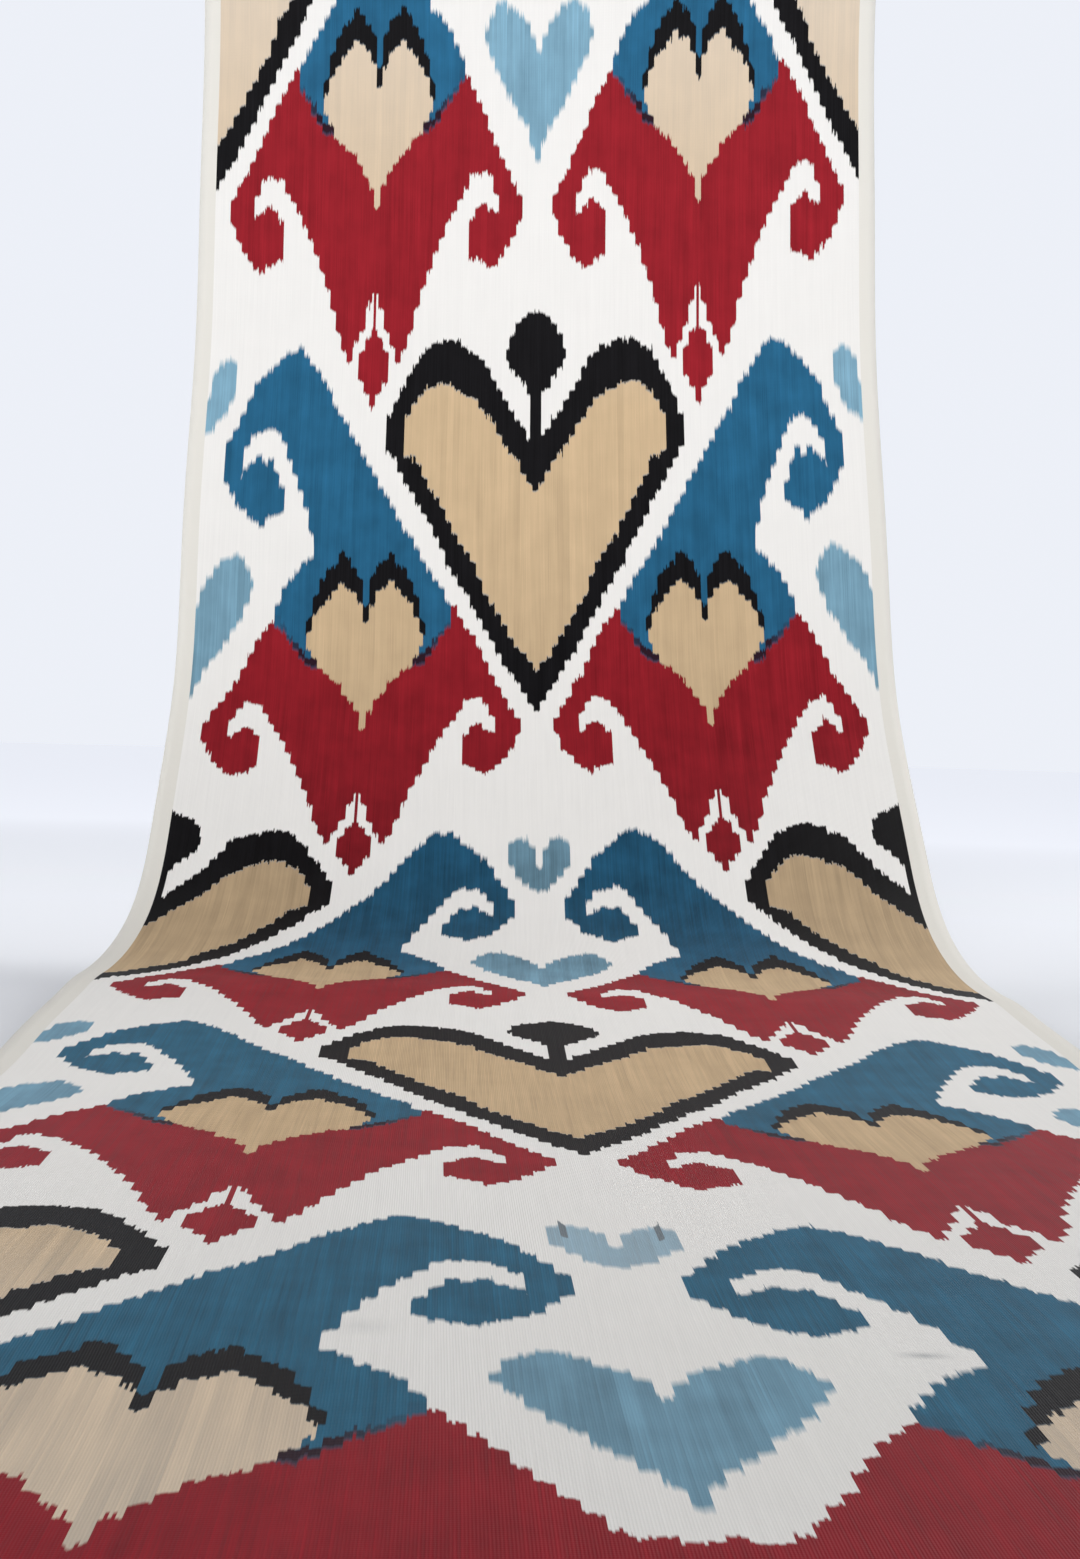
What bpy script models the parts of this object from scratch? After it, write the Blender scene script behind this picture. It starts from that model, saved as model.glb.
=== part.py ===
"""A length of warp-dyed ikat cloth, hung from its top edge and run out over the floor.

The cloth is one piece: a loom-width strip with both selvedges and plain cut ends. It falls
almost plumb, sweeps forward in a long hollow curve, comes down in a low swell and lies flat on
the floor. It is worked out in its own two measures, across from the middle line and along from
the foot of the sweep, and then carried to its place. The origin is the middle of the top edge.
"""
import math

import bpy
import numpy as np

# Driving dimensions, in metres
CLOTH_WIDTH = 0.42
SELVEDGE_WIDTH = 0.010
CLOTH_THICKNESS = 0.0012
FLOOR_LENGTH = 0.72
RAISED_LENGTH = 0.90

# How steeply the cloth stands, columns: metres along from the foot of the sweep, degrees from the floor
RISE_STATIONS = (
    (-0.32, 0.0),
    (-0.20, 0.9),
    (-0.10, 3.4),
    (-0.04, 3.1),
    (0.02, 3.8),
    (0.07, -0.8),
    (0.12, 3.5),
    (0.16, 9.5),
    (0.20, 16.5),
    (0.24, 25.9),
    (0.28, 34.3),
    (0.33, 36.8),
    (0.39, 43.6),
    (0.46, 59.2),
    (0.56, 68.4),
    (0.68, 77.7),
    (0.80, 86.7),
    (0.90, 89.5),
)
RISE_STEPS = 488

# The middle line runs off to one side: metres aside for a metre along, and how that eases
SIDE_RUN = 0.029
SIDE_EASE = 0.008

# The selvedges wander in and out as the loom width varies, columns: depth, wavelength, start in turns
EDGE_WAVES = (
    (0.0009, 0.47, 0.10),
    (0.0006, 0.21, 0.65),
)

# Soft hollows of the hanging part
# Columns: depth, waves across the width, waves along a metre, start in turns
SOFT_HOLLOWS = (
    (0.0022, 0.5, 0.8, 0.15),
    (0.0012, 1.1, 1.9, 0.40),
)

# The selvedges of the hanging part turn back a little
CURL_DEPTH = 0.0022
CURL_WIDTH = 0.026

# The hollows and the curl grow from nothing at the first station to their full depth at the second
FREE_STARTS = 0.12
FREE_FULL = 0.45

# Mesh cells
CELLS_ACROSS = 20
CELLS_ALONG = 72

# Finish of the plain solid: the undyed ground of the cloth
GROUND_COLOUR = (0.80, 0.76, 0.70, 1.0)
GROUND_ROUGHNESS = 0.6


def clear_scene():
    """Removes every object that is in the scene."""
    for thing in list(bpy.data.objects):
        bpy.data.objects.remove(thing, do_unlink=True)


def make_collection(name):
    """Adds a collection to the scene."""
    collection = bpy.data.collections.new(name)
    bpy.context.scene.collection.children.link(collection)
    return collection


def make_material(name, colour, roughness):
    """A Principled material of one colour."""
    material = bpy.data.materials.new(name)
    material.use_nodes = True
    shader = material.node_tree.nodes["Principled BSDF"]
    shader.inputs["Base Color"].default_value = colour
    shader.inputs["Roughness"].default_value = roughness
    shader.inputs["Metallic"].default_value = 0.0
    return material


def slope_at(along):
    """The cloth's slope in radians: level before the first station, then read between them."""
    runs, degrees = np.array(RISE_STATIONS).T
    return np.radians(np.interp(along, runs, degrees))


def side_profile(along):
    """Distance back and height above the floor, by adding up short steps of the sloping cloth."""
    lift = RISE_STATIONS[0][0]
    steps = np.linspace(lift, RAISED_LENGTH, RISE_STEPS + 1)
    middles = (steps[:-1] + steps[1:]) / 2
    step = (RAISED_LENGTH - lift) / RISE_STEPS
    backs = lift + np.concatenate(([0.0], np.cumsum(np.cos(slope_at(middles)) * step)))
    heights = np.concatenate(([0.0], np.cumsum(np.sin(slope_at(middles)) * step)))
    raised = np.clip(along, lift, RAISED_LENGTH)
    back = np.interp(raised, steps, backs) + np.minimum(along - lift, 0.0)
    return back, np.interp(raised, steps, heights)


def side_drift(along):
    """How far the middle line has run off to one side."""
    return SIDE_EASE * along ** 2 - SIDE_RUN * along


def wandering_width(across, along):
    """Moves the selvedges in and out by a sum of long sine waves, and the cloth between in proportion."""
    wander = np.zeros_like(along)
    for depth, wavelength, start in EDGE_WAVES:
        wander += depth * np.sin(2 * math.pi * (along / wavelength + start))
    return across * (1.0 + 2 * wander / CLOTH_WIDTH)


def freedom(along):
    """Nought on the floor and one where the cloth hangs free, with a smooth step between."""
    share = np.clip((along - FREE_STARTS) / (FREE_FULL - FREE_STARTS), 0.0, 1.0)
    return share ** 2 * (3 - 2 * share)


def surface_relief(across, along):
    """Soft hollows and turned-back selvedges, measured towards the face of the cloth."""
    relief = np.zeros_like(along)
    for depth, waves_across, waves_along, start in SOFT_HOLLOWS:
        turns = waves_across * across / CLOTH_WIDTH + waves_along * along + start
        relief += depth * np.sin(2 * math.pi * turns)
    into_curl = np.clip((np.abs(across) - CLOTH_WIDTH / 2 + CURL_WIDTH) / CURL_WIDTH, 0.0, None)
    return freedom(along) * (relief - CURL_DEPTH * into_curl ** 2)


def standing_place(across, along):
    """Carries points of the flat cloth to their place, measured from the foot of the sweep at floor level."""
    back, height = side_profile(along)
    slope = slope_at(along)
    relief = surface_relief(across, along)
    x = wandering_width(across, along) + side_drift(along)
    y = back - relief * np.sin(slope)
    z = height + relief * np.cos(slope)
    return np.stack((x, y, z), axis=-1)


def cloth_place(across, along):
    """The same points measured from the middle of the top edge."""
    top_middle = standing_place(np.zeros(1), np.full(1, RAISED_LENGTH))
    return standing_place(across, along) - top_middle


def column_places():
    """Where the mesh's columns lie across the cloth: one for each selvedge, the rest evenly between."""
    half = CLOTH_WIDTH / 2
    inner = np.linspace(SELVEDGE_WIDTH - half, half - SELVEDGE_WIDTH, CELLS_ACROSS - 1)
    return np.concatenate(([-half], inner, [half]))


def make_cloth(collection):
    """The cloth: a flat grid carried to its place, given its thickness towards the face."""
    bpy.ops.mesh.primitive_grid_add(x_subdivisions=CELLS_ACROSS, y_subdivisions=CELLS_ALONG, size=1.0)
    cloth = bpy.context.object
    cloth.name = "cloth"
    cloth.data.name = "cloth"
    for holder in list(cloth.users_collection):
        holder.objects.unlink(cloth)
    collection.objects.link(cloth)

    points = np.empty(len(cloth.data.vertices) * 3, dtype=np.float32)
    cloth.data.vertices.foreach_get("co", points)
    points = points.reshape(-1, 3).astype(float)
    across = np.interp((points[:, 0] + 0.5) * CELLS_ACROSS, np.arange(CELLS_ACROSS + 1), column_places())
    along = (points[:, 1] + 0.5) * (FLOOR_LENGTH + RAISED_LENGTH) - FLOOR_LENGTH
    cloth.data.vertices.foreach_set("co", cloth_place(across, along).astype(np.float32).ravel())
    cloth.data.update()

    thickness = cloth.modifiers.new("thickness", "SOLIDIFY")
    thickness.thickness = CLOTH_THICKNESS
    thickness.offset = 1.0
    thickness.use_even_offset = True
    thickness.use_rim = True
    cloth.data.shade_smooth()
    cloth.data.materials.append(make_material("undyed_ground", GROUND_COLOUR, GROUND_ROUGHNESS))
    return cloth


def main():
    clear_scene()
    make_cloth(make_collection("ikat_cloth"))


main()
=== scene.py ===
# %% [markdown]
# # A length of warp-dyed ikat cloth
# The real thing is one strip of narrow hand-loom cloth. Its warp threads were bound and dyed in
# bundles before weaving, which is why every edge in the pattern is a row of small steps and
# feathers that run along the cloth. It hangs from its top edge, sweeps forward and lies on the
# floor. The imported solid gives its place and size, so it is loaded first, and its box is kept.

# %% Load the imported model
import math

import bpy
import numpy as np
from mathutils import Euler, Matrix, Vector


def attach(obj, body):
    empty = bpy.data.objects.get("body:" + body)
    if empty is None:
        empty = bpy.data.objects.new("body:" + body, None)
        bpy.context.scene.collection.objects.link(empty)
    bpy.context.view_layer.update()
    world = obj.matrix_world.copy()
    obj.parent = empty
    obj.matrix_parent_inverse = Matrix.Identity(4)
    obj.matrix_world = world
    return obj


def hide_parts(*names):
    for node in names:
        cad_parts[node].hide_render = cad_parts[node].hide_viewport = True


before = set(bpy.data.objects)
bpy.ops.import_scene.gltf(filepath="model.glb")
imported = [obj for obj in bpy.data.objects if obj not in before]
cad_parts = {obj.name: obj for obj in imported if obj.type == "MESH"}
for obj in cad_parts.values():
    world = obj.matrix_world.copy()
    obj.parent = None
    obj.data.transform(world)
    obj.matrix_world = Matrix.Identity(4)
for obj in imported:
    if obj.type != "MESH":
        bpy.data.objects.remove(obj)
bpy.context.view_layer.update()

# %% [markdown]
# ## The cloth's own measures
# Everything on the cloth is placed by two numbers: `across`, from the middle line, and `along`,
# from the foot of the sweep, just where the floor part ends. The same few stations that shape
# the solid shape the fine cloth, so the two lie together.

# %% Measures of the strip, in metres
CLOTH_WIDTH = 0.42
SELVEDGE_WIDTH = 0.010
CLOTH_THICKNESS = 0.0009
FLOOR_LENGTH = 0.72
RAISED_LENGTH = 0.90
CLOTH_LENGTH = FLOOR_LENGTH + RAISED_LENGTH
MILLIMETRES = 1000.0

# Columns: metres along from the foot of the sweep, degrees from the floor
RISE_STATIONS = (
    (-0.32, 0.0),
    (-0.20, 0.9),
    (-0.10, 3.4),
    (-0.04, 3.1),
    (0.02, 3.8),
    (0.07, -0.8),
    (0.12, 3.5),
    (0.16, 9.5),
    (0.20, 16.5),
    (0.24, 25.9),
    (0.28, 34.3),
    (0.33, 36.8),
    (0.39, 43.6),
    (0.46, 59.2),
    (0.56, 68.4),
    (0.68, 77.7),
    (0.80, 86.7),
    (0.90, 89.5),
)
RISE_STEPS = 488

# The middle line runs off to one side: metres aside for a metre along, and how that eases
SIDE_RUN = 0.029
SIDE_EASE = 0.008
# It also bows a little where the cloth swings up: depth, place and reach in metres
SIDE_BOW = 0.0023
BOW_PLACE = 0.30
BOW_REACH = 0.19
print("cut length", round(CLOTH_LENGTH, 2), "m, loom width", CLOTH_WIDTH, "m")

# %% [markdown]
# ## The fall of the cloth
# A hanging cloth that is drawn out over a floor could be simulated, but here its side view is
# known well, so it is worked out: the slope is read between stations, and short steps of that
# slope are added up to give how far back and how high each point lies.

# %% Side profile


def slope_at(along):
    """Slope in radians: level before the first station, then read between them."""
    runs, degrees = np.array(RISE_STATIONS).T
    return np.radians(np.interp(along, runs, degrees))


def side_profile(along):
    """Distance back and height: the running sums of cosine and sine of the slope, step by step."""
    lift = RISE_STATIONS[0][0]
    steps = np.linspace(lift, RAISED_LENGTH, RISE_STEPS + 1)
    middles = (steps[:-1] + steps[1:]) / 2
    step = (RAISED_LENGTH - lift) / RISE_STEPS
    backs = lift + np.concatenate(([0.0], np.cumsum(np.cos(slope_at(middles)) * step)))
    heights = np.concatenate(([0.0], np.cumsum(np.sin(slope_at(middles)) * step)))
    raised = np.clip(along, lift, RAISED_LENGTH)
    back = np.interp(raised, steps, backs) + np.minimum(along - lift, 0.0)
    return back, np.interp(raised, steps, heights)


def side_drift(along):
    """How far the middle line has run off to one side: a parabola in the length along, and a soft bow."""
    bow = SIDE_BOW * np.exp(-((along - BOW_PLACE) / BOW_REACH) ** 2)
    return SIDE_EASE * along ** 2 - SIDE_RUN * along + bow


_, top_height = side_profile(np.array([RAISED_LENGTH]))
print("the top edge is", round(float(top_height[0]), 3), "m above the floor")

# %% [markdown]
# ## Unevenness
# Hand-loom cloth is never quite even. Its width wanders, its selvedges turn back a little where
# it hangs free, and it has soft hollows a couple of millimetres deep. The width and the hollows
# are sums of long sine waves, and a parabola turns each selvedge back. All but the wandering
# width fade out where the cloth rests on the floor.

# %% Waves, hollows and curl
# Columns: depth, wavelength, start in turns
EDGE_WAVES = (
    (0.0009, 0.47, 0.10),
    (0.0006, 0.21, 0.65),
)
# Columns: depth, waves across the width, waves along a metre, start in turns
SOFT_HOLLOWS = (
    (0.0022, 0.5, 0.8, 0.15),
    (0.0012, 1.1, 1.9, 0.40),
)
CURL_DEPTH = 0.0022
CURL_WIDTH = 0.026
FREE_STARTS = 0.12
FREE_FULL = 0.45


def wandering_width(across, along):
    """Moves the selvedges by a sum of long sine waves, and the cloth between in proportion."""
    wander = np.zeros_like(along)
    for depth, wavelength, start in EDGE_WAVES:
        wander += depth * np.sin(2 * math.pi * (along / wavelength + start))
    return across * (1.0 + 2 * wander / CLOTH_WIDTH)


def freedom(along):
    """Nought on the floor and one where the cloth hangs free, with a smooth step between."""
    share = np.clip((along - FREE_STARTS) / (FREE_FULL - FREE_STARTS), 0.0, 1.0)
    return share ** 2 * (3 - 2 * share)


def surface_relief(across, along):
    """How far the face stands out: a sum of sines, less a parabola at each selvedge, times freedom."""
    relief = np.zeros_like(along)
    for depth, waves_across, waves_along, start in SOFT_HOLLOWS:
        turns = waves_across * across / CLOTH_WIDTH + waves_along * along + start
        relief += depth * np.sin(2 * math.pi * turns)
    into_curl = np.clip((np.abs(across) - CLOTH_WIDTH / 2 + CURL_WIDTH) / CURL_WIDTH, 0.0, None)
    return freedom(along) * (relief - CURL_DEPTH * into_curl ** 2)


def standing_place(across, along):
    """Place from the foot of the sweep: the side profile, moved out at right angles by the relief."""
    back, height = side_profile(along)
    slope = slope_at(along)
    relief = surface_relief(across, along)
    x = wandering_width(across, along) + side_drift(along)
    y = back - relief * np.sin(slope)
    z = height + relief * np.cos(slope)
    return np.stack((x, y, z), axis=-1)


top_middle = standing_place(np.zeros(1), np.full(1, RAISED_LENGTH))[0]
foot = Vector(-top_middle)
print("the foot of the sweep is at", tuple(round(c, 3) for c in foot))

# %% [markdown]
# ## Camera
# The viewer lies low: the lens is a hand's breadth above the floor, a metre in front of the foot
# of the sweep, and looks almost level. A longish lens keeps the hanging part square. It goes in
# early, so that every later step can be judged from the same place.

# %% Set up the camera
CAMERA_BACK = 1.053
CAMERA_HEIGHT = 0.1258
CAMERA_ASIDE = -0.0073
CAMERA_DOWN = math.radians(0.945)
CAMERA_RIGHT = math.radians(0.06)
CAMERA_ROLL = math.radians(1.6)
FOCAL_LENGTH = 57.15
SENSOR_WIDTH = 36.0
CLIP_NEAR = 0.01
CLIP_FAR = 60.0

lens = bpy.data.cameras.new("viewer")
lens.lens = FOCAL_LENGTH
lens.sensor_width = SENSOR_WIDTH
lens.clip_start = CLIP_NEAR
lens.clip_end = CLIP_FAR
camera = bpy.data.objects.new("viewer", lens)
bpy.context.scene.collection.objects.link(camera)
camera.location = foot + Vector((CAMERA_ASIDE, -CAMERA_BACK, CAMERA_HEIGHT))
turn = Euler((math.pi / 2 - CAMERA_DOWN, 0.0, -CAMERA_RIGHT), "XYZ").to_matrix()
roll = Euler((0.0, 0.0, CAMERA_ROLL), "XYZ").to_matrix()
camera.rotation_euler = (turn @ roll).to_euler()
bpy.context.scene.camera = camera
print("camera at", tuple(round(c, 3) for c in camera.location))

# %% [markdown]
# ## Stage
# The cloth lies on a wide pale floor, like a sheet of studio paper. A curved backdrop would do
# as well, but a flat disc that glows a little away from the cloth meets the pale surround almost
# without a line, and it does so from every side.

# %% Shape and colours of the floor
STAGE_RADIUS = 16.0
STAGE_RINGS = 24
STAGE_SEGMENTS = 96
FIRST_RING = 0.02
STAGE_DROP = 0.0004
STAGE_COLOUR = (0.745, 0.765, 0.80, 1.0)
STAGE_GLOW = (0.540, 0.557, 0.605, 1.0)
GLOW_STARTS = 0.10
GLOW_FULL = 2.4


def disc(turns, out):
    """A flat disc: the radius is the stage's radius times the square of out, round a full turn."""
    angle = 2 * math.pi * turns
    radius = STAGE_RADIUS * out ** 2
    return np.stack((radius * np.cos(angle), radius * np.sin(angle), np.zeros_like(angle)), axis=-1)


print("the floor's rings grow from", round(STAGE_RADIUS * FIRST_RING ** 2, 4), "m to", STAGE_RADIUS, "m")

# %% A mesh from a grid of points


def grid_faces(rows, columns):
    """Corner numbers of the faces between neighbouring points of a grid, counted row by row."""
    corner = np.arange(rows * columns).reshape(rows, columns)
    sides = (corner[:-1, :-1], corner[:-1, 1:], corner[1:, 1:], corner[1:, :-1])
    return np.stack(sides, axis=-1).reshape(-1, 4)


def mesh_from_grid(name, points):
    """Makes a mesh of a rows by columns grid of points."""
    rows, columns, _ = points.shape
    mesh = bpy.data.meshes.new(name)
    mesh.from_pydata(points.reshape(-1, 3).tolist(), [], grid_faces(rows, columns).tolist())
    mesh.shade_smooth()
    return mesh


print("a grid of 3 by 3 points has", len(grid_faces(3, 3)), "faces")

# %% Floor
turns, out = np.meshgrid(
    np.linspace(1.0, 0.0, STAGE_SEGMENTS + 1),
    np.linspace(FIRST_RING, 1.0, STAGE_RINGS + 1),
)
floor_points = disc(turns, out)
floor_points[0] = 0.0
floor_points[..., 1] += foot.y
floor_points[..., 2] += foot.z - STAGE_DROP
floor = bpy.data.objects.new("floor", mesh_from_grid("floor", floor_points))
bpy.context.scene.collection.objects.link(floor)
print("floor", 2 * STAGE_RADIUS, "m across")

# %% [markdown]
# ## Shader maths as Python
# Every pattern here is worked out for each point. Written node by node that would be hard to
# read, so one small class wraps a socket: adding or multiplying two of them adds a Math node.
# Any other node comes from one method that takes its type, its settings and its inputs.

# %% Sockets that can be added and multiplied


class Socket:
    """An output socket. Arithmetic on it adds Math nodes to the graph."""

    def __init__(self, graph, output):
        self.graph = graph
        self.output = output

    def __add__(self, other):
        return self.graph.math("ADD", self, other)

    __radd__ = __add__

    def __sub__(self, other):
        return self.graph.math("SUBTRACT", self, other)

    def __rsub__(self, other):
        return self.graph.math("SUBTRACT", other, self)

    def __mul__(self, other):
        return self.graph.math("MULTIPLY", self, other)

    __rmul__ = __mul__

    def __truediv__(self, other):
        return self.graph.math("DIVIDE", self, other)

    def __lt__(self, other):
        return self.graph.math("LESS_THAN", self, other)

    def __gt__(self, other):
        return self.graph.math("GREATER_THAN", self, other)

    def __abs__(self):
        return self.graph.math("ABSOLUTE", self)


print("sockets can be added, multiplied and compared")

# %% A node tree with one method that adds any node


class Graph:
    """A node tree, with one method that adds any node."""

    def __init__(self, owner):
        owner.use_nodes = True
        self.tree = owner.node_tree

    def feed(self, socket, value):
        """Links a socket, or sets it to a number or a colour."""
        if isinstance(value, Socket):
            self.tree.links.new(value.output, socket)
        elif socket.type == "VECTOR":
            socket.default_value = value[:3]
        else:
            socket.default_value = value

    def add(self, kind, settings, inputs, output=0):
        """Adds a node: first its settings, then its inputs by name or number."""
        node = self.tree.nodes.new(kind)
        for name, value in settings.items():
            if name == "points":
                draw_curve(node.mapping, value)
            elif name == "stops":
                set_stops(node.color_ramp, value)
            else:
                setattr(node, name, value)
        for name, value in inputs.items():
            self.feed(node.inputs[name], value)
        return Socket(self, node.outputs[output])

    def math(self, operation, *values):
        """A Math node."""
        return self.add("ShaderNodeMath", {"operation": operation}, dict(enumerate(values)))

    def limited(self, value):
        """The value, kept between 0 and 1."""
        return self.add("ShaderNodeClamp", {}, {0: value})

    def mixed(self, share, first, second):
        """The first colour where share is 0 and the second where it is 1."""
        return self.add("ShaderNodeMix", {"data_type": "RGBA"}, {0: share, 6: first, 7: second}, 2)

    def tinted(self, colour, value):
        """A colour made lighter or darker by a number."""
        grey = self.add("ShaderNodeCombineXYZ", {}, {0: value, 1: value, 2: value})
        return self.add("ShaderNodeVectorMath", {"operation": "MULTIPLY"}, {0: colour, 1: grey})

    def noise(self, x, y, scale=1.0, detail=0.0):
        """Smooth noise, mostly from a quarter to three quarters, read at two numbers."""
        place = self.add("ShaderNodeCombineXYZ", {}, {0: x, 1: y})
        inputs = {"Vector": place, "Scale": scale, "Detail": detail}
        return self.add("ShaderNodeTexNoise", {"noise_dimensions": "2D"}, inputs)


print("a graph adds Math, Clamp, Mix, Noise and any other node")

# %% Points of a curve and stops of a ramp


def draw_curve(mapping, points):
    """Gives a Float Curve node straight runs between its points."""
    curve = mapping.curves[0]
    for place in points[2:]:
        curve.points.new(*place)
    for point, place in zip(curve.points, sorted(points)):
        point.location = place
        point.handle_type = "VECTOR"
    mapping.extend = "HORIZONTAL"
    mapping.update()


def set_stops(ramp, stops):
    """Gives a Color Ramp node its stops: place and colour."""
    for place, _ in stops[2:]:
        ramp.elements.new(place)
    for element, (place, colour) in zip(ramp.elements, stops):
        element.position = place
        element.color = colour


print("curves and ramps ready")

# %% Floor finish
DARK = (0.0, 0.0, 0.0, 1.0)
PAPER_ROUGHNESS = 0.9

floor_finish = bpy.data.materials.new("pale_paper")
paper = Graph(floor_finish)
paper_shader = paper.tree.nodes["Principled BSDF"]
paper_place = paper.add("ShaderNodeTexCoord", {}, {}, "Object")
middle = (foot.x, foot.y, foot.z)
from_middle = paper.add(
    "ShaderNodeVectorMath", {"operation": "DISTANCE"}, {0: paper_place, 1: middle}, "Value")
glow = paper.limited((from_middle - GLOW_STARTS) / (GLOW_FULL - GLOW_STARTS))
paper.feed(paper_shader.inputs["Emission Color"], paper.mixed(glow, DARK, STAGE_GLOW))
paper_shader.inputs["Emission Strength"].default_value = 1.0
paper_shader.inputs["Base Color"].default_value = STAGE_COLOUR
paper_shader.inputs["Roughness"].default_value = PAPER_ROUGHNESS
paper_shader.inputs["Specular IOR Level"].default_value = 0.0
floor.data.materials.append(floor_finish)
print("the floor glows fully from", GLOW_FULL, "m out")

# %% [markdown]
# ## Light
# The light is soft and comes mostly from the viewer's side: one broad panel in front lights the
# hanging part fully and the floor at a slant, so the cloth grows dimmer into its bend. Weaker
# panels stand at the sides and behind for the other views. The surround is brightest near the
# horizon, where the camera looks, and dimmer overhead.

# %% Lights
# Columns: name, place from the foot of the sweep, size, power in watts, colour
SOFT_LIGHTS = (
    ("front_panel", (-0.25, -2.4, 1.35), 1.4, 6.3, (1.0, 0.985, 0.96)),
    ("left_panel", (-2.6, 1.2, 1.3), 1.5, 3.5, (0.97, 0.98, 1.0)),
    ("right_panel", (2.6, 1.2, 1.3), 1.5, 3.5, (0.97, 0.98, 1.0)),
    ("back_panel", (1.7, 2.4, 2.2), 1.8, 5.8, (1.0, 0.99, 0.97)),
)
PANEL_SPREAD = math.radians(50)
AIM_BACK = 0.30
AIM_HEIGHT = 0.50

for name, place, size, power, colour in SOFT_LIGHTS:
    panel = bpy.data.lights.new(name, "AREA")
    panel.shape = "SQUARE"
    panel.size = size
    panel.energy = power
    panel.color = colour
    panel.spread = PANEL_SPREAD
    lamp = bpy.data.objects.new(name, panel)
    bpy.context.scene.collection.objects.link(lamp)
    lamp.location = foot + Vector(place)
    towards = foot + Vector((0.0, AIM_BACK, AIM_HEIGHT)) - lamp.location
    lamp.rotation_euler = towards.to_track_quat("-Z", "Y").to_euler()
    print(name, power, "W")

# %% Surround
HORIZON_COLOUR = (0.845, 0.872, 0.935, 1.0)
OVERHEAD_COLOUR = (0.28, 0.28, 0.29, 1.0)
HORIZON_ENDS = 0.30
OVERHEAD_STARTS = 0.50

world = bpy.data.worlds.new("surround")
sky = Graph(world)
direction = sky.add("ShaderNodeTexCoord", {}, {}, "Generated")
height = sky.add("ShaderNodeSeparateXYZ", {}, {0: direction}, "Z")
stops = ((HORIZON_ENDS, HORIZON_COLOUR), (OVERHEAD_STARTS, OVERHEAD_COLOUR))
gradient = sky.add("ShaderNodeValToRGB", {"stops": stops}, {0: height})
sky.feed(sky.tree.nodes["Background"].inputs["Color"], gradient)
bpy.context.scene.world = world
bpy.context.scene.view_settings.view_transform = "Standard"
print("a pale surround up to", HORIZON_ENDS, "of the way overhead")

# %% [markdown]
# ## The cloth
# A plane could be subdivided and bent with modifiers, but a grid of points worked out at once
# keeps `across` and `along` at hand for the pattern. The two numbers go into a UV map named
# Warp, in metres, so the dyed pattern follows the cloth round its bend. A second map lays the
# strip out in two columns side by side, to use a square picture well. Solidify gives the sheet
# its thickness towards the face, and both faces share the maps, as warp-dyed cloth does.

# %% Fine cloth
CELLS_ACROSS = 84
CELLS_ALONG = 324

across, along = np.meshgrid(
    np.linspace(-CLOTH_WIDTH / 2, CLOTH_WIDTH / 2, CELLS_ACROSS + 1),
    np.linspace(-FLOOR_LENGTH, RAISED_LENGTH, CELLS_ALONG + 1),
)
cloth_points = standing_place(across.ravel(), along.ravel()).reshape(across.shape + (3,)) - top_middle
cloth_mesh = mesh_from_grid("ikat_strip", cloth_points)
print(len(cloth_mesh.polygons), "faces in the fine cloth before its thickness")

# %% Two maps
BAKE_COLUMNS = 2
BAKE_GAP = 0.01


def write_map(mesh, name, u, v):
    """Writes a UV map from two numbers for each corner."""
    layer = mesh.uv_layers.new(name=name)
    layer.data.foreach_set("uv", np.stack((u, v), axis=-1).astype(np.float32).ravel())


corner_points = np.empty(len(cloth_mesh.loops), dtype=np.int32)
cloth_mesh.loops.foreach_get("vertex_index", corner_points)
corner_across = across.ravel()[corner_points]
corner_along = along.ravel()[corner_points]
write_map(cloth_mesh, "Warp", corner_across, corner_along)

column_length = CLOTH_LENGTH / BAKE_COLUMNS
face_middle = np.repeat(corner_along.reshape(-1, 4).mean(axis=1), 4) + FLOOR_LENGTH
column = np.floor(face_middle / column_length)
side = max(BAKE_COLUMNS * (CLOTH_WIDTH + BAKE_GAP), column_length + BAKE_GAP)
bake_u = (corner_across + CLOTH_WIDTH / 2 + BAKE_GAP / 2 + column * (CLOTH_WIDTH + BAKE_GAP)) / side
bake_v = (corner_along + FLOOR_LENGTH - column * column_length + BAKE_GAP / 2) / side
write_map(cloth_mesh, "OFBake", bake_u, bake_v)
cloth_mesh.uv_layers["Warp"].active = True
cloth_mesh.uv_layers["Warp"].active_render = True
print("the second map covers", round(side, 3), "m square")

# %% Thickness
cloth = bpy.data.objects.new("ikat_strip", cloth_mesh)
bpy.context.scene.collection.objects.link(cloth)
thickness = cloth.modifiers.new("thickness", "SOLIDIFY")
thickness.thickness = CLOTH_THICKNESS
thickness.offset = 1.0
thickness.use_even_offset = True
print("sheet", round(CLOTH_THICKNESS * MILLIMETRES, 1), "mm thick")

# %% [markdown]
# ## Where a thread lies in the pattern
# The warp was tied and dyed in bundles of threads, so a whole bundle shares nearly one place
# across, and each bundle slips a little along when the loom is dressed. The place across is
# therefore drawn towards its bundle's middle, and the place along is shifted by a noise for the
# bundle and a finer one for the thread. That alone gives the stepped and feathered edges. At the
# viewer's end the warp is set a little closer and sits a millimetre to the right.

# %% Bundles and threads, in millimetres
PATTERN_WIDTH = (CLOTH_WIDTH - 2 * SELVEDGE_WIDTH) * MILLIMETRES
BUNDLE = 3.7
STEP_SHARE = 0.76
THREAD = 0.62
BUNDLE_SLIP = 6.0
THREAD_SLIP = 1.8
SLIP_LENGTH = 26.0
# A few threads slip much further: this times the cube of a thread's chance
SPIKE = 40.0
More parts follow.
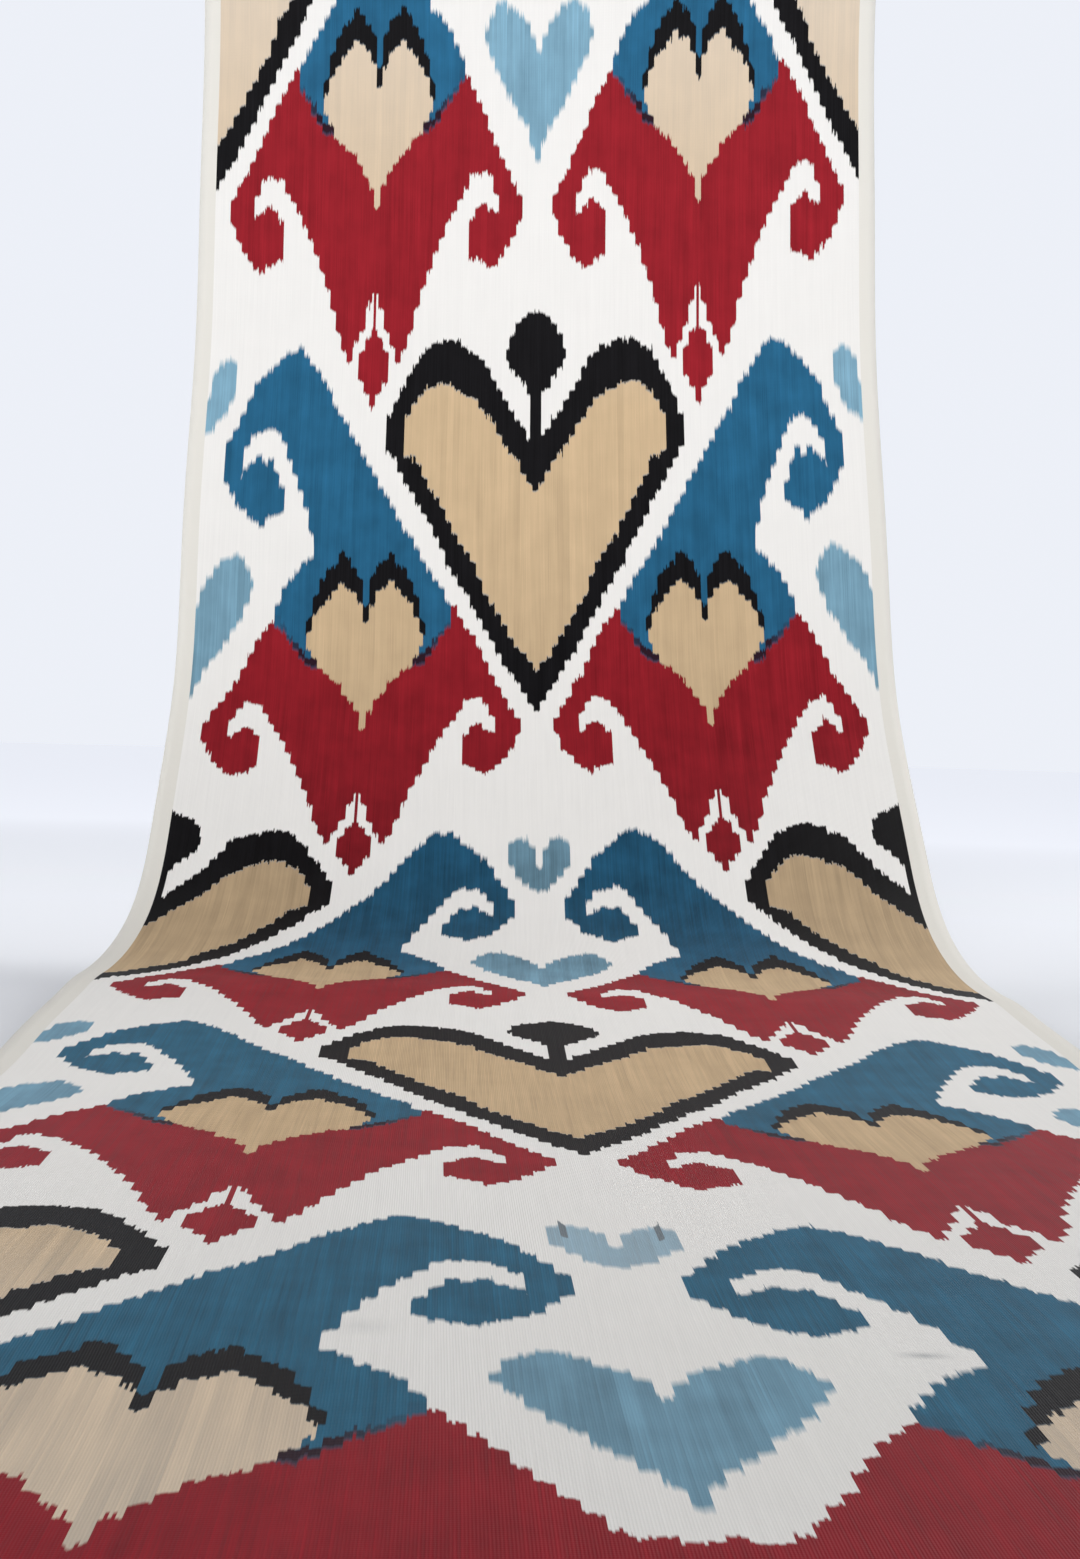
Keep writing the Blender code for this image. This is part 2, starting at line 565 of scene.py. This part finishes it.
# Numbers that keep the chances of neighbouring bundles and threads apart
BUNDLE_CHANCE = 7.31
THREAD_CHANCE = 3.17
THREAD_CHANCE_START = 40.0
# Where the viewer's end of the warp starts and is full, how far it sits aside, how much closer
NEAR_STARTS = -250.0
NEAR_FULL = -450.0
NEAR_SHIFT = 1.0
NEAR_SQUEEZE = 0.0065
print("bundles of", BUNDLE, "mm and threads of", THREAD, "mm")

# %% Place of each thread
ikat_dye = bpy.data.materials.new("ikat_dye")
dye = Graph(ikat_dye)
shader = dye.tree.nodes["Principled BSDF"]
warp_map = dye.add("ShaderNodeUVMap", {"uv_map": "Warp"}, {})
place_along = dye.add("ShaderNodeSeparateXYZ", {}, {0: warp_map}, "Y") * MILLIMETRES
near_end = dye.limited((place_along - NEAR_STARTS) / (NEAR_FULL - NEAR_STARTS))
true_across = dye.add("ShaderNodeSeparateXYZ", {}, {0: warp_map}, "X") * MILLIMETRES
place_across = true_across * (near_end * NEAR_SQUEEZE + 1.0) - near_end * NEAR_SHIFT
bundle = dye.math("FLOOR", place_across / BUNDLE + 0.5)
thread = dye.math("FLOOR", place_across / THREAD)
dyed_across = place_across * (1.0 - STEP_SHARE) + bundle * (BUNDLE * STEP_SHARE)
print("the lower end's warp sits", NEAR_SHIFT, "mm to the right")

# %% [markdown]
# ## How the rows run
# The rows of the pattern don't run quite square to the selvedges: they climb towards the right
# where the cloth hangs, and level out on the floor. A curve along the cloth holds that.

# %% Climb of the rows
# Columns: place along in millimetres, climb for each millimetre across
ROW_CLIMB = (
    (-750, 0.004),
    (-350, 0.007),
    (-150, 0.001),
    (0, 0.016),
    (120, 0.050),
    (250, 0.069),
    (500, 0.060),
    (900, 0.055),
)
STRIP_START = -800.0
STRIP_SPAN = 1800.0


def strip_curve(rows, span):
    """A Float Curve along the strip: its rows give a place and a number no larger than half the span."""
    points = [((place - STRIP_START) / STRIP_SPAN, value / span + 0.5) for place, value in rows]
    share = (place_along - STRIP_START) / STRIP_SPAN
    curve = dye.add("ShaderNodeFloatCurve", {"points": points}, {"Value": share})
    return (curve - 0.5) * span


row_place = place_along - strip_curve(ROW_CLIMB, 0.2) * place_across
print("the rows climb", max(climb for _, climb in ROW_CLIMB), "mm for each millimetre at most")

# %% Slips of bundles and threads
bundle_slip = (dye.noise(bundle * BUNDLE_CHANCE, row_place / SLIP_LENGTH) - 0.5) * BUNDLE_SLIP
thread_chance = dye.noise(thread * THREAD_CHANCE, row_place / SLIP_LENGTH + THREAD_CHANCE_START) - 0.5
thread_slip = thread_chance * THREAD_SLIP + thread_chance * thread_chance * thread_chance * SPIKE
dyed_along = row_place + bundle_slip + thread_slip
print("a bundle mostly slips less than", BUNDLE_SLIP / 4, "mm")

# %% [markdown]
# ## The repeat
# The pattern is a half drop: moved up by half its length and across by half its width, it meets
# itself. So each motif is charted once. Motifs about the heart's middle line are read by the
# distance from that line, which swaps sides from row to row. Motifs about the column between
# two hearts look the same in every row.

# %% Fold the cloth onto one repeat
HALF_REPEAT = 357.2
HEART_TIP = 407.0
# A row's middle above the heart's tip: the rows part where none of their motifs is cut
HEART_WINDOW = 128.0
COLUMN_WINDOW = -22.0
half_across = abs(dyed_across)


def row_of(window):
    """The number of the row, for rows centred on the window, measured from the heart's tip."""
    return dye.math("FLOOR", (dyed_along - (HEART_TIP + window)) / HALF_REPEAT + 0.5)


heart_row = row_of(HEART_WINDOW)
heart_along = dyed_along - HEART_TIP - heart_row * HALF_REPEAT
column_row = row_of(COLUMN_WINDOW)
column_along = dyed_along - HEART_TIP - column_row * HALF_REPEAT
odd_row = abs(heart_row - dye.math("FLOOR", heart_row / 2.0) * 2.0)
from_heart = half_across + odd_row * (PATTERN_WIDTH / 2 - half_across * 2.0)
from_edge_heart = PATTERN_WIDTH / 2 - from_heart
from_column = abs(half_across - PATTERN_WIDTH / 4)
# Lines thinner than a bundle are read thread by thread instead
thread_from_heart = abs(place_across) + odd_row * (PATTERN_WIDTH / 2 - abs(place_across) * 2.0)
thread_from_edge_heart = PATTERN_WIDTH / 2 - thread_from_heart
thread_from_column = abs(abs(place_across) - PATTERN_WIDTH / 4)
print("half repeat", HALF_REPEAT, "mm")

# %% [markdown]
# ## Charting a motif
# A motif is a strip of warp between a lower and an upper line. Each line is a Float Curve: how
# far along the thread it lies, for each distance from the motif's middle. The chart is drawn in
# millimetres, counted from the tip of the large heart, with only the points that the shape needs.
# A mask is then 1 between the two lines, with a soft edge along the thread only.

# %% Masks from two lines
CHART_WIDTH = 200.0
CHART_BASE = -200.0
CHART_HEIGHT = 520.0
CRISP = 1.7
WICKED = 3.4


def chart_line(distance, points):
    """Reads a charted line at a distance from the motif's middle."""
    inside = [(far / CHART_WIDTH, (up - CHART_BASE) / CHART_HEIGHT) for far, up in points]
    curve = dye.add("ShaderNodeFloatCurve", {"points": inside}, {"Value": distance / CHART_WIDTH})
    return curve * CHART_HEIGHT + CHART_BASE


def motif(name, distance, place, lower, upper, soft=CRISP):
    """One where the place along lies between two charted lines, over their width, else nought."""
    print(name, "reaches", lower[-1][0], "mm from its middle line")
    above = dye.limited((place - chart_line(distance, lower)) / soft + 0.5)
    below = dye.limited((chart_line(distance, upper) - place) / soft + 0.5)
    first, last = lower[0][0], lower[-1][0]
    mask = above * below * (distance < last)
    return mask * (distance > first) if first > 0 else mask


print("charts cover", CHART_WIDTH, "by", CHART_HEIGHT, "mm")

# %% [markdown]
# ## The large heart
# A tan heart in a wide black outline, with a black drop on a stem in its notch.

# %% Heart, its filling and its stalk
heart_outline = motif(
    "heart outline", from_heart, heart_along,
    ((0, -3), (2, 1), (13, 22), (26, 50), (40, 81), (50, 100), (56, 116), (72, 150), (79, 163), (84, 175),
     (91, 185)),
    ((0, 188), (4, 191), (16, 212), (24, 226), (33, 244), (45, 253), (53, 256), (60, 255), (69, 250),
     (74, 240), (84, 221), (87, 210), (91, 204)),
)
heart_filling = motif(
    "heart filling", from_heart, heart_along,
    ((0, 29), (9, 42), (16, 56), (30, 84), (36, 104), (50, 129), (56, 143), (64, 159), (71, 176),
     (79, 180)),
    ((0, 153), (6, 165), (13, 178), (18, 184), (30, 206), (36, 216), (46, 222), (58, 229), (66, 225),
     (72, 217), (76, 210), (79, 202)),
)
stalk_head = motif(
    "stalk head", from_heart, heart_along,
    ((0, 217), (4, 220), (11, 231), (17, 238), (18.5, 244)),
    ((0, 274), (6, 271), (12, 266), (17, 256), (18.5, 250)),
)
stalk = motif("stalk", thread_from_heart, heart_along, ((0, 182), (3.4, 182)), ((0, 222), (3.4, 222)))

# %% [markdown]
# ## The ram's horn
# A blue arm that rises outwards from the small heart and curls over into a ball. Above the ball
# the white of the curl shows, so the arm, the ball and the outer wing are charted apart.

# %% Horn, its ball and its wing
horn = motif(
    "horn", from_heart, heart_along,
    ((49, 66), (67, 34), (132, 34), (132.5, 124), (135, 138), (140, 156), (148, 178), (152, 189),
     (157, 200), (166, 199), (171, 193), (175, 184), (177.5, 168), (178, 148), (180, 154), (184, 161),
     (187.5, 171)),
    ((49, 68), (55, 88), (64, 103), (80, 134), (96, 166), (102, 178), (119, 208), (127, 226), (134, 238),
     (141, 248), (146, 253), (153, 250), (160, 241), (165, 235), (172, 226), (177, 212), (182, 199),
     (187.5, 183)),
    WICKED,
)
horn_ball = motif(
    "horn ball", from_heart, heart_along,
    ((150, 148), (152, 142), (158, 139), (163, 133), (167, 137), (175, 144), (178.5, 149)),
    ((150, 156), (154, 164), (156, 174), (159, 180), (162, 175), (166, 182), (170, 176), (174, 172),
     (178.5, 167)),
    WICKED,
)
horn_wing = motif(
    "horn wing", from_heart, heart_along,
    ((132, 34), (152.5, 66)),
    ((132, 112), (137, 108), (142, 101), (146, 95), (150, 86), (152.5, 79)),
    WICKED,
)

# %% [markdown]
# ## The pale hearts
# Two light blue hearts stand on the middle line between the horns, a small one over a large one.
# Their dye wicked furthest under the ties, so their ends are the softest.

# %% Pale hearts
PALE_WICKED = 4.5
pale_small = motif(
    "pale small", from_edge_heart, heart_along,
    ((0, 196), (4, 199), (10, 207), (15, 219), (17, 229)),
    ((0, 219), (2, 232), (5, 241), (10, 247), (14, 245), (17, 238)),
    PALE_WICKED,
)
# One of the small hearts took less dye, and two stray strokes cross it
STRAY_ROW = -3.0
stray_row = abs(heart_row - STRAY_ROW) < 0.5
stray_strokes = stray_row * motif(
    "stray strokes", thread_from_edge_heart, heart_along,
    ((11.4, 230), (13.2, 233)),
    ((11.4, 247), (13.2, 251)),
)
pale_large = motif(
    "pale large", from_edge_heart, heart_along,
    ((0, 13), (6, 33), (13, 44), (20, 58), (26, 70), (31, 82), (33.5, 91)),
    ((0, 81), (3, 92), (9, 103), (14, 109), (24, 116), (29, 109), (33.5, 97)),
    PALE_WICKED,
)

# %% [markdown]
# ## The column
# Between two hearts stands a small tan heart with a black cap. Below it a crimson shape spreads
# into two curled horns and comes down in two points, with a drop hanging between them. In the
# lowest row the tying slipped: the white of the curls starts lower, and the horns of two
# neighbours meet.

# %% Small heart, cap and crimson horns
small_heart = motif(
    "small heart", from_column, column_along,
    ((0, -15), (2.5, -2), (6, 6), (10, 12), (14, 20), (21, 27), (26, 33), (30, 41), (33.5, 48)),
    ((0, 64), (3, 77), (7, 86), (11, 90), (15, 93), (21, 84), (26, 77), (30, 69), (33.5, 58)),
)
cap = motif(
    "cap", from_column, column_along,
    ((0, 60), (33, 58), (34.5, 55)),
    ((0, 76), (2, 89), (4, 98), (8, 106), (14, 114), (19, 106), (25, 98), (28, 89), (32, 76), (34.5, 62)),
)
crimson_horns = motif(
    "crimson horns", from_column, column_along,
    ((0, -69), (3, -76), (7, -93), (10, -101), (15, -117), (21, -101), (24, -86), (27, -75), (32, -58),
     (37, -44), (43, -28), (48, -16), (55, -4), (59, 5), (67, 9), (71, 3), (75, -9), (76, -20),
     (76.5, -49), (80, -44), (84, -37), (88, -26), (90, -18)),
    ((0, 37), (33, 41), (38, 50), (45, 58), (49, 65), (52, 75), (57, 65), (65, 50), (73, 28), (78, 17),
     (82, 7), (87, -3), (90, -10)),
)

# %% Slipped tie in the lowest row
CURL_DROP = 27.0
LOWEST_ROW = -3.0
lowest_row = abs(column_row - LOWEST_ROW) < 0.5
curl_filling = lowest_row * motif(
    "curl filling", from_column, column_along,
    ((42, -32), (50, -29), (55, -26), (59, -21), (67, -18), (71, -24), (75, -34), (76.5, -47)),
    ((42, -28), (50, -9), (55, 0), (59, 8), (67, 12), (71, 6), (75, -5), (76.5, -18)),
)
crimson_bridge = lowest_row * motif(
    "crimson bridge", half_across, column_along,
    ((0, -24), (6, -27), (10, -32), (15, -38)),
    ((0, -3), (5, -2), (9, -4), (12, -1), (15, 2)),
)

# %% Ball, drop and its stem
crimson_ball = motif(
    "crimson ball", from_column, column_along + lowest_row * CURL_DROP,
    ((56.5, -38), (58, -46), (65, -51), (70, -55), (77, -49)),
    ((56.5, -27), (58, -21), (62, -16), (65, -11), (68, -11), (71, -16), (77, -23)),
)
drop = motif(
    "drop", from_column, column_along,
    ((0, -144), (3, -137), (6, -131), (8.8, -124)),
    ((0, -94), (3, -98), (6, -104), (8.8, -112)),
)
drop_stem = motif(
    "drop stem", thread_from_column, column_along,
    ((0, -104), (0.8, -104)),
    ((0, -64), (0.8, -64)),
)

# %% [markdown]
# ## Colours
# The dyes are crimson, two blues, tan and black on undyed white. They aren't the same along the
# whole length: the blues are greener in the lower part, and the tan pales towards both ends. In one
# stretch round the bend all the dyes are also painted darker: painted shade where the cloth curves.
# A picture of the cloth would hold that too, but a few colours and curves stay sharp at any distance.

# %% Dyes
GROUND = (0.77, 0.757, 0.73, 1.0)
CREAM = (0.70, 0.68, 0.625, 1.0)
CRIMSON = (0.268, 0.0125, 0.020, 1.0)
LOWER_CRIMSON = (0.243, 0.0105, 0.018, 1.0)
BLUE = (0.018, 0.110, 0.212, 1.0)
LOWER_BLUE = (0.020, 0.106, 0.178, 1.0)
PALE_BLUE = (0.182, 0.338, 0.440, 1.0)
LOWER_PALE = (0.150, 0.290, 0.385, 1.0)
TAN = (0.555, 0.408, 0.248, 1.0)
LOWER_TAN = (0.515, 0.372, 0.222, 1.0)
BLACK = (0.0065, 0.0062, 0.0072, 1.0)
STRAY = (0.16, 0.19, 0.21, 1.0)
RUN_TOGETHER = (0.022, 0.0085, 0.016, 1.0)
print("crimson keeps", round(CRIMSON[0] / GROUND[0], 2), "of the red light of the ground")

# %% How the dyes change along the cloth
# Columns: place along in millimetres, how much the painted shade at the bend darkens the dyes there
BEND_SHADE = (
    (40, 0.0),
    (120, 0.15),
    (200, 0.38),
    (270, 0.38),
    (350, 0.18),
    (480, 0.08),
    (640, 0.0),
)
# Where the upper dyes start to turn into the lower ones, and where they have turned
LOWER_STARTS = 340.0
LOWER_FULL = -50.0
# How much of the painted shade at the bend the tan takes
TAN_TAKES_SHADE = 0.65
# Columns: place along in millimetres, how far the tan has faded towards the ground
TAN_FADE = (
    (-700, 0.34),
    (-480, 0.18),
    (-380, 0.0),
    (620, 0.0),
    (900, 0.36),
)
# Columns: place along in millimetres, how strong the broad streaks in the tan are
TAN_STREAKS = (
    (-700, 0.90),
    (-480, 0.75),
    (-330, 0.32),
    (-100, 0.26),
    (900, 0.20),
)

# Painted shade at the bend: how much darker the dyes are painted along the strip
depth = strip_curve(BEND_SHADE, 2.0)
lower_share = dye.limited((place_along - LOWER_STARTS) / (LOWER_FULL - LOWER_STARTS))
crimson_dye = dye.mixed(lower_share, CRIMSON, LOWER_CRIMSON)
blue_dye = dye.mixed(lower_share, BLUE, LOWER_BLUE)
pale_dye = dye.mixed(lower_share, PALE_BLUE, LOWER_PALE)
tan_dye = dye.mixed(lower_share, TAN, LOWER_TAN)
fade = strip_curve(TAN_FADE, 2.0)
tan_streaks = strip_curve(TAN_STREAKS, 2.0)
# The dyes are darkest where the painted shade at the bend is deepest
print("the dye is deepest from", BEND_SHADE[2][0], "to", BEND_SHADE[3][0], "mm above the foot")

# %% [markdown]
# ## Unevenness of the dye
# Dye takes unevenly from thread to thread and from bundle to bundle, most of all the tan and the
# pale blue, which show streaks along the warp. Noise that is read by the thread's number gives
# streaks that stay on their thread, and a softer noise over both directions gives blotches.

# %% Streaks and blotches
STREAK_LENGTH = 60.0
STREAK_CHANCE = 5.7
BROAD_LENGTH = 160.0
BROAD_CHANCE = 2.9
BROAD_START = 9.0
BLOTCH_ACROSS = 14.0
BLOTCH_ALONG = 22.0

streak = dye.noise(thread * STREAK_CHANCE, place_along / STREAK_LENGTH, detail=1.0) - 0.5
broad_streak = dye.noise(
    bundle * BROAD_CHANCE, place_along / BROAD_LENGTH + BROAD_START, detail=1.0) - 0.5
blotch = dye.noise(place_across / BLOTCH_ACROSS, place_along / BLOTCH_ALONG, detail=2.0) - 0.5


def uneven(colour, fine, broad, mottled, takes_shade=1.0):
    """A dye's colour: uneven from thread to thread, from bundle to bundle and in soft blotches, with
    painted shade at the bend.
    """
    share = streak * fine + broad_streak * broad + blotch * mottled
    # The dyes are darkened by the painted shade at the bend, in the share that the last argument gives
    return dye.tinted(colour, share + 1.0 - depth * takes_shade)


print("streaks about", STREAK_LENGTH, "and", BROAD_LENGTH, "mm long")

# %% [markdown]
# ## Lay the dyes
# The masks are laid over the undyed ground one after another, so black is never tinted by what
# lies under it. Where blue ran into crimson, beside the small hearts, the two make a dark line.
# Two faint smears lie on the white near the lower end.

# %% Areas of each dye
# Blue and crimson ran together most beside the small heart: millimetres from the column's middle
RUN_FULL = 38.0
RUN_ENDS = 54.0


def either(*masks):
    """One where any of the masks is one."""
    total = masks[0]
    for mask in masks[1:]:
        total = dye.math("MAXIMUM", total, mask)
    return total


blue_area = either(horn, horn_ball, horn_wing)
crimson_area = either(crimson_horns, crimson_ball, curl_filling, crimson_bridge, drop, drop_stem)
pale_area = either(pale_small, pale_large)
black_area = either(heart_outline * (1.0 - heart_filling), stalk_head, stalk, cap * (1.0 - small_heart))
tan_area = either(heart_filling, small_heart)
selvedge_area = abs(place_across) > PATTERN_WIDTH / 2
run_area = blue_area * crimson_area * dye.limited((RUN_ENDS - from_column) / (RUN_ENDS - RUN_FULL))
print("the selvedges are", SELVEDGE_WIDTH * MILLIMETRES, "mm wide")

# %% Ground, pale hearts and stray marks
# Columns: place across and along, reach across and along in millimetres, strength
SMEARS = (
    (57, -545, 7.0, 3.5, 0.50),
    (-60, -533, 8.0, 9.0, 0.16),
)
# How much the ground varies from thread to thread and in blotches
GROUND_STREAKS = 0.07
GROUND_BLOTCHES = 0.03
LESS_DYE = 0.20
# How much a dye varies from thread to thread, from bundle to bundle and in blotches
PALE_VARIES = (0.40, 0.50, 0.30)

ground = dye.tinted(GROUND, streak * GROUND_STREAKS + blotch * GROUND_BLOTCHES + 1.0)
cloth_colour = dye.mixed(pale_area, ground, uneven(pale_dye, *PALE_VARIES))
cloth_colour = dye.mixed(stray_row * pale_small * LESS_DYE, cloth_colour, GROUND)
cloth_colour = dye.mixed(stray_strokes, cloth_colour, STRAY)
for smear_across, smear_along, reach_across, reach_along, strength in SMEARS:
    within = dye.limited(1.0 - abs(place_across - smear_across) / reach_across)
    smear = within * dye.limited(1.0 - abs(place_along - smear_along) / reach_along) * strength
    cloth_colour = dye.mixed(smear, cloth_colour, STRAY)
print(len(SMEARS), "smears on the white")

# %% Crimson, blue, tan and black
# How much each dye varies from bundle to bundle and in blotches
CRIMSON_VARIES = (0.25, 0.35)
BLUE_VARIES = (0.35, 0.45)
TAN_BLOTCHES = 0.14
BLACK_VARIES = (1.2, 0.3, 0.4)
# How much each varies from thread to thread: what the lower part adds, and the rest
CRIMSON_THREADS = (0.10, 0.40)
BLUE_THREADS = (0.30, 0.35)
TAN_THREADS = (0.15, 0.20)


def thread_to_thread(added, rest):
    """How much a dye varies from thread to thread: the rest, and more in the lower part."""
    return lower_share * added + rest


crimson_colour = uneven(crimson_dye, thread_to_thread(*CRIMSON_THREADS), *CRIMSON_VARIES)
blue_colour = uneven(blue_dye, thread_to_thread(*BLUE_THREADS), *BLUE_VARIES)
tan_colour = uneven(tan_dye, thread_to_thread(*TAN_THREADS), tan_streaks, TAN_BLOTCHES, TAN_TAKES_SHADE)
cloth_colour = dye.mixed(crimson_area, cloth_colour, crimson_colour)
cloth_colour = dye.mixed(blue_area, cloth_colour, blue_colour)
cloth_colour = dye.mixed(run_area, cloth_colour, RUN_TOGETHER)
cloth_colour = dye.mixed(tan_area, cloth_colour, dye.mixed(fade, tan_colour, GROUND))
cloth_colour = dye.mixed(black_area, cloth_colour, uneven(BLACK, *BLACK_VARIES))
cloth_colour = dye.mixed(selvedge_area, cloth_colour, CREAM)
print("dyes laid over the ground")

# %% [markdown]
# ## Weave
# The cloth is a fine plain weave of silk warp over cotton weft: fine threads along and a faint
# rib across. Both are too small to model, so they are a bump, and the colour is painted a little
# lighter on their ridges and darker in their grooves: painted sheen and shade of the weave. The
# finish is nearly matt, with a faint gloss where the eye meets it at a low angle.

# %% Weave and finish
RIB = 0.95
THREAD_PAINTED_LIGHT = 0.03
RIB_PAINTED_LIGHT = 0.008
WEAVE_DEPTH = 0.00010
RIDGE_SHARE = 0.8
BUMP_STRENGTH = 0.4
ROUGHNESS = 0.62
ROUGHNESS_STREAKS = 0.15
GLOSS = 0.05
SHEEN = 0.01
SHEEN_ROUGHNESS = 0.4

rib = dye.math("SINE", place_along * (2 * math.pi / RIB))
ridge = dye.math("SINE", place_across * (2 * math.pi / THREAD))
# Painted light of the weave: the colour is lighter on the ridges and ribs and darker in the grooves
cloth_colour = dye.tinted(cloth_colour, ridge * THREAD_PAINTED_LIGHT + rib * RIB_PAINTED_LIGHT + 1.0)
relief = ridge * RIDGE_SHARE + rib * (1.0 - RIDGE_SHARE)
weave_bump = dye.add(
    "ShaderNodeBump", {}, {"Strength": BUMP_STRENGTH, "Distance": WEAVE_DEPTH, "Height": relief})
dye.feed(shader.inputs["Base Color"], cloth_colour)
dye.feed(shader.inputs["Normal"], weave_bump)
dye.feed(shader.inputs["Roughness"], streak * ROUGHNESS_STREAKS + ROUGHNESS)
shader.inputs["Specular IOR Level"].default_value = GLOSS
shader.inputs["Sheen Weight"].default_value = SHEEN
shader.inputs["Sheen Roughness"].default_value = SHEEN_ROUGHNESS
cloth_mesh.materials.append(ikat_dye)
print(len(dye.tree.nodes), "nodes in the dye")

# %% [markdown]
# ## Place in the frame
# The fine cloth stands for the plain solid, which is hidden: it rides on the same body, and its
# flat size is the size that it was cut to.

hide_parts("cloth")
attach(cloth, "root")
print("one sheet, cut", CLOTH_WIDTH, "by", CLOTH_LENGTH, "m")
